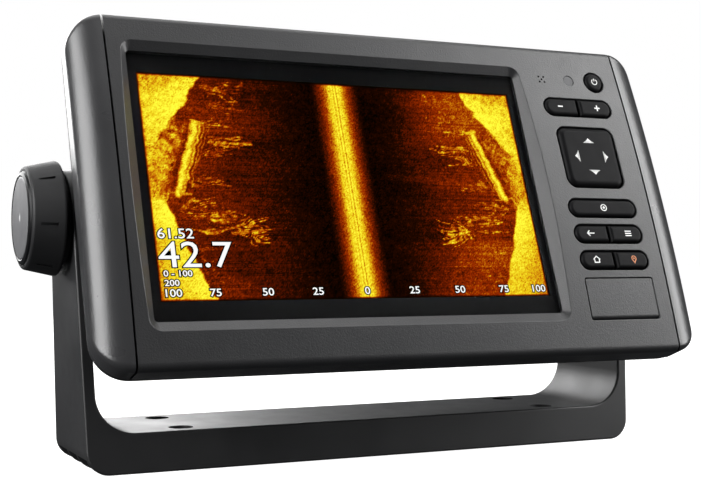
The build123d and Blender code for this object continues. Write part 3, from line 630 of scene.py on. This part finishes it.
def echoField():
    # the two sides mirror each other: side is the distance from the middle
    random = np.random.default_rng(picture["seed"])
    t, s = np.meshgrid(
        np.linspace(0, 1, picture["rows"]), np.linspace(-1, 1, picture["columns"]), indexing="ij"
    )
    noise = {name: smoothNoise(random, s.shape, *reach) for name, reach in noises.items()}
    side = np.abs(s) + wander["side"] * noise["sideways"]
    lift = t + wander["lift"] * noise["upDown"]
    field = addTrack(addBed(s, t, side, noise), s, noise)
    field = addBanks(field, side, lift, noise)
    for start, end, width, level in wreck:
        field = np.maximum(field, level * strand(side, lift, start, end, width))
    field = addWeed(random, field, side, lift, noise)
    field = addSpeckle(random, field, side, noise)
    margin = np.minimum(np.minimum(1 - np.abs(s), t * border["rowShare"]), (1 - t) * border["rowShare"])
    return np.clip(field, 0, 1) * rise(margin, *border["edge"])


def addPicture():
    # flat grid of columns by rows points, level with the face, just behind the lens
    lensLow, _ = headBox("display_lens")
    panelLow, panelHigh = headBox("lcd_panel")
    centre = (panelLow + panelHigh) / 2
    columns, rows = picture["columns"], picture["rows"]
    u = np.linspace(-0.5, 0.5, columns) * picture["width"] + centre[0]
    v = np.linspace(-0.5, 0.5, rows) * picture["height"] + centre[1]
    gridV, gridU = np.meshgrid(v, u, indexing="ij")
    gridW = np.full_like(gridU, lensLow[2] - picture["behindLens"])
    points = toRow(np.stack([gridU, gridV, gridW], -1).reshape(-1, 3))
    corner = (np.arange(rows - 1)[:, None] * columns + np.arange(columns - 1)).ravel()
    faces = np.stack([corner, corner + 1, corner + columns + 1, corner + columns], 1)
    piece = addPiece("sonar_picture", points, faces, "head", sonarPicture())
    echo = piece.data.attributes.new("echo", "FLOAT", "POINT")
    echo.data.foreach_set("value", echoField().ravel().astype(np.float32))
    return centre


pictureCentre = addPicture()
print("picture drawn")

# Numbers on the picture: white with a dark edge

digits = {
    "scaleNumbers": ("100", "75", "50", "25", "0", "25", "50", "75", "100"),
    "scalePlaces": (-0.943, -0.745, -0.497, -0.25, 0.0, 0.25, 0.497, 0.745, 0.943),
    "scaleSize": 3.9 * mm, "scaleRow": -41.6 * mm,
    # words, size, then across and up from the picture's middle
    "depth": ("42.7", 13.6 * mm, -76.8 * mm, -31.0 * mm),
    "warmth": ("61.52", 5.2 * mm, -76.4 * mm, -20.4 * mm),
    "rangeLine": ("0 - 100", 3.1 * mm, -75.6 * mm, -34.3 * mm),
    "pulseLine": ("200", 3.1 * mm, -75.6 * mm, -37.7 * mm),
    "edge": 0.40 * mm, "stretch": 1.16, "curveSteps": 3,
    "weight": 0.05 * mm, "large": 6.0 * mm,          # only words smaller than large get the weight
    "edgeBehindLens": 0.12 * mm, "faceBehindLens": 0.06 * mm,
}
digitWhite = glowingMaterial("lcd_white_lit", "#FFFFFF", 1.0)
digitBlack = glowingMaterial("lcd_black_unlit", "#050505", 0.0)


def textMesh(body, size, align, swell):
    # a filled outline of the words, swollen by swell, as a plain mesh
    curve = bpy.data.curves.new("words", "FONT")
    curve.body = body
    curve.size = size
    curve.align_x = align
    curve.offset = swell
    curve.resolution_u = digits["curveSteps"]
    holder = bpy.data.objects.new("words", curve)
    bpy.context.scene.collection.objects.link(holder)
    bpy.context.view_layer.update()
    mesh = bpy.data.meshes.new_from_object(holder.evaluated_get(bpy.context.evaluated_depsgraph_get()))
    bpy.data.objects.remove(holder)
    return mesh


def addDigits(name, body, size, u, v, align="LEFT"):
    lensLow, _ = headBox("display_lens")
    weight = digits["weight"] if size < digits["large"] else 0.0
    for suffix, swell, gap, material in (
        ("edge", digits["edge"], digits["edgeBehindLens"], digitBlack),
        ("face", weight, digits["faceBehindLens"], digitWhite),
    ):
        mesh = textMesh(body, size, align, swell)
        flat = np.empty(len(mesh.vertices) * 3)
        mesh.vertices.foreach_get("co", flat)
        flat = flat.reshape(-1, 3)
        flat[:, 0] = flat[:, 0] * digits["stretch"] + pictureCentre[0] + u
        flat[:, 1] += pictureCentre[1] + v
        flat[:, 2] = lensLow[2] - gap
        faces = [list(polygon.vertices) for polygon in mesh.polygons]
        addPiece(f"{name}_{suffix}", toRow(flat), faces, "head", material)


for index, (number, place) in enumerate(zip(digits["scaleNumbers"], digits["scalePlaces"])):
    addDigits(
        f"scale_{index}", number, digits["scaleSize"], place * picture["width"] / 2,
        digits["scaleRow"], "CENTER",
    )
for name in ("depth", "warmth", "rangeLine", "pulseLine"):
    addDigits(name, *digits[name])
print("numbers drawn")

# Printed marks on the keys

marks = {
    "thickness": 0.05 * mm, "lift": 0.03 * mm,
    # line widths, mm
    "thin": 0.34, "line": 0.42, "roof": 0.4, "pin": 0.38, "ring": 0.36, "bar": 0.56,
}


def arc(radius, start, stop, count, centre=(0.0, 0.0)):
    # points at even angles, in degrees, on a circle
    angle = np.radians(np.linspace(start, stop, count))
    return np.stack([centre[0] + radius * np.cos(angle), centre[1] + radius * np.sin(angle)], 1)


def band(points, width, closed=False):
    # a line of constant width: each corner moves half the width to both sides along its mitre
    points = np.asarray(points, float)
    ahead = np.roll(points, -1, 0) - points
    behind = points - np.roll(points, 1, 0)
    if not closed:
        ahead[-1], behind[0] = behind[-1], ahead[0]
    ahead /= np.linalg.norm(ahead, axis=1)[:, None]
    behind /= np.linalg.norm(behind, axis=1)[:, None]
    left = np.stack([-ahead[:, 1], ahead[:, 0]], 1)
    before = np.stack([-behind[:, 1], behind[:, 0]], 1)
    mitre = (left + before) / (1 + (left * before).sum(1))[:, None]
    count = len(points)
    last = count if closed else count - 1
    faces = [(i + count, (i + 1) % count + count, (i + 1) % count, i) for i in range(last)]
    return np.concatenate([points + mitre * width / 2, points - mitre * width / 2]), faces


def blob(points):
    # a filled outline, its points in anticlockwise order
    return np.asarray(points, float), [tuple(range(len(points)))]


def addMark(name, node, shapes, ink):
    # the shapes, in mm about the key's middle, lie on the key's top as a thin film of ink
    centre = topCentre(node)
    points, faces = [], []
    for shapePoints, shapeFaces in shapes:
        first = sum(len(p) for p in points)
        points.append(shapePoints)
        faces += [[first + i for i in face] for face in shapeFaces]
    flat = np.concatenate(points) * mm
    local = np.column_stack([flat + centre[:2], np.full(len(flat), centre[2] + marks["lift"])])
    piece = addPiece(name, toRow(local), faces, frame["nodes"][node]["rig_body"], ink)
    film = piece.modifiers.new("film", "SOLIDIFY")
    film.thickness = marks["thickness"]
    film.offset = -1.0


def cross(arm, half):
    # a plus sign: arms of length arm that reach half to each side of their middle line
    corner = [(half, half), (half, arm), (-half, arm)]
    turned = []
    for _ in range(4):
        turned += corner
        corner = [(-v, u) for u, v in corner]
    return blob(turned)


thin, line, roof, pin = marks["thin"], marks["line"], marks["roof"], marks["pin"]
addMark("minus_mark", "zoom_out_key", [band([(-1.2, 0), (1.2, 0)], marks["bar"])], whiteInk)
addMark("plus_mark", "zoom_in_key", [cross(1.3, marks["bar"] / 2)], whiteInk)
addMark(
    "power_mark", "power_key",
    [
        band(arc(radius=1.25, start=125, stop=415, count=24), thin),
        band([(0, 0.35), (0, 1.55)], thin),
    ], whiteInk,
)
addMark(
    "select_mark", "select_key",
    [
        band(arc(radius=1.3, start=0, stop=345, count=24), marks["ring"], closed=True),
        blob(arc(radius=0.5, start=0, stop=337.5, count=16)),
    ], whiteInk,
)
addMark(
    "back_mark", "back_key",
    [band([(-1.45, 0), (1.7, 0)], line), band([(-0.5, 1.15), (-1.65, 0), (-0.5, -1.15)], line)], whiteInk,
)
addMark("menu_mark", "menu_key", [band([(-1.5, v), (1.5, v)], line) for v in (-0.95, 0.0, 0.95)], whiteInk)
addMark(
    "home_mark", "home_key",
    [
        band([(-1.6, 0.0), (0.0, 1.35), (1.6, 0.0)], roof),
        band([(-1.1, 0.1), (-1.1, -1.2), (1.1, -1.2), (1.1, 0.1)], roof),
    ], whiteInk,
)
pinMiddle, pinPoint = (0, 0.45), (0, -1.45)
pinHead = arc(radius=1.0, start=-25, stop=205, count=20, centre=pinMiddle)
pinEye = arc(radius=0.34, start=0, stop=330, count=12, centre=pinMiddle)
addMark(
    "mark_mark", "mark_key",
    [band(np.concatenate([pinHead, [pinPoint]]), pin, closed=True), blob(pinEye)], orangeInk,
)
arrows = {
    "baseRadius": 4.0, "baseHalfAngle": 41, "baseMiddle": (3.0, 0.0), "basePoints": 13,
    "height": 2.2, "from": 0.15, "steps": 7, "taper": 1.4,
}


def arrow(turn):
    # out along x: the base is an arc bowed outward, above it the half width falls as (1 - h) ** taper
    halfAngle = arrows["baseHalfAngle"]
    base = arc(arrows["baseRadius"], halfAngle, -halfAngle, arrows["basePoints"], arrows["baseMiddle"])
    height = np.linspace(arrows["from"], 1, arrows["steps"])
    half = base[0, 1] * (1 - height) ** arrows["taper"]
    out = base[0, 0] + arrows["height"] * height
    sides = np.concatenate([np.stack([out, -half], 1), np.stack([out, half], 1)[-2::-1]])
    c, s = math.cos(turn), math.sin(turn)
    return blob(np.concatenate([base, sides]) @ np.array([[c, s], [-s, c]]))


for index in range(4):
    addMark(f"arrow_{index}", "direction_pad", [arrow(math.pi / 2 * index)], whiteInk)
print("marks printed")

# Floor, light and camera

stage = {
    "floor": 12.0, "floorColour": "#A0A0A0", "floorGlow": 0.95,
    "background": (1.0, 1.0, 1.0, 1.0), "surround": "#6E7073", "surroundStrength": 0.38,
}
softboxes = {  # direction from the object, distance, width, height, power
    "right_softbox": ((0.82, -0.40, 0.41), 0.95, 0.40, 1.0, 12.0),
    "left_softbox": ((-0.86, -0.25, 0.38), 0.95, 0.62, 0.84, 18.0),
    "top_softbox": ((0.1, 0.3, 1.0), 1.1, 1.0, 0.6, 5.0),
    "rear_softbox": ((-0.15, 0.90, 0.35), 1.1, 1.0, 0.6, 13.0),
}
overhead = {"direction": (0.25, -0.2, 1.0), "strength": 0.6, "spread": math.radians(50)}
camera = {
    "place": (-0.2284, -0.4764, 0.0782), "yaw": math.radians(25.36), "pitch": math.radians(0.456),
    "lens": 66.85, "sensor": 36.0, "nearest": 0.01, "farthest": 50.0,
}


def addFloor():
    half = stage["floor"] / 2
    corners = [(-half, -half, 0), (half, -half, 0), (half, half, 0), (-half, half, 0)]
    mesh = bpy.data.meshes.new("floor")
    mesh.from_pydata(corners, [], [(0, 1, 2, 3)])
    floor = bpy.data.objects.new("floor", mesh)
    bpy.context.scene.collection.objects.link(floor)
    material, tree = startMaterial("floor_paper")
    closeMaterial(
        tree, Base_Color=linear(stage["floorColour"]), Roughness=1.0, Specular_IOR_Level=0.0,
        Emission_Color=linear("#FFFFFF"), Emission_Strength=stage["floorGlow"],
    )
    mesh.materials.append(material)
    floor.visible_diffuse = floor.visible_glossy = floor.visible_transmission = False


def addSurround():
    # white behind the object, a dimmer grey for what it reflects
    world = bpy.data.worlds.new("studio")
    bpy.context.scene.world = world
    world.use_nodes = True
    tree = world.node_tree
    tree.nodes.clear()
    seen = addNode(tree, "ShaderNodeBackground", Color=stage["background"], Strength=1.0)
    grey = addNode(
        tree, "ShaderNodeBackground", Color=linear(stage["surround"]), Strength=stage["surroundStrength"]
    )
    path = addNode(tree, "ShaderNodeLightPath")
    mix = addNode(tree, "ShaderNodeMixShader", Fac=path.outputs["Is Camera Ray"])
    tree.links.new(grey.outputs[0], mix.inputs[1])
    tree.links.new(seen.outputs[0], mix.inputs[2])
    addNode(tree, "ShaderNodeOutputWorld", Surface=mix.outputs[0])


def addLamp(name, data, direction):
    # a lamp that shines back along direction
    lamp = bpy.data.objects.new(name, data)
    bpy.context.scene.collection.objects.link(lamp)
    lamp.rotation_euler = Vector(direction).to_track_quat("Z", "Y").to_euler()
    return lamp


def addLights():
    middle = (cadBox[0] + cadBox[1]) / 2
    for name, (direction, distance, width, height, power) in softboxes.items():
        data = bpy.data.lights.new(name, "AREA")
        data.shape = "RECTANGLE"
        data.size, data.size_y = width, height
        data.energy = power
        addLamp(name, data, direction).location = middle + Vector(direction).normalized() * distance
    sun = bpy.data.lights.new("overhead", "SUN")
    sun.energy, sun.angle = overhead["strength"], overhead["spread"]
    addLamp("overhead", sun, overhead["direction"])


def addCamera():
    data = bpy.data.cameras.new("camera")
    data.sensor_width = camera["sensor"]
    data.lens = camera["lens"]
    data.clip_start, data.clip_end = camera["nearest"], camera["farthest"]
    eye = bpy.data.objects.new("camera", data)
    bpy.context.scene.collection.objects.link(eye)
    yaw, pitch = camera["yaw"], camera["pitch"]
    ahead = Vector((math.sin(yaw) * math.cos(pitch), math.cos(yaw) * math.cos(pitch), math.sin(pitch)))
    eye.location = camera["place"]
    eye.rotation_euler = ahead.to_track_quat("-Z", "Y").to_euler()
    bpy.context.scene.camera = eye


addFloor()
addSurround()
addLights()
addCamera()
bpy.context.scene.view_settings.view_transform = "Standard"
print("stage set")
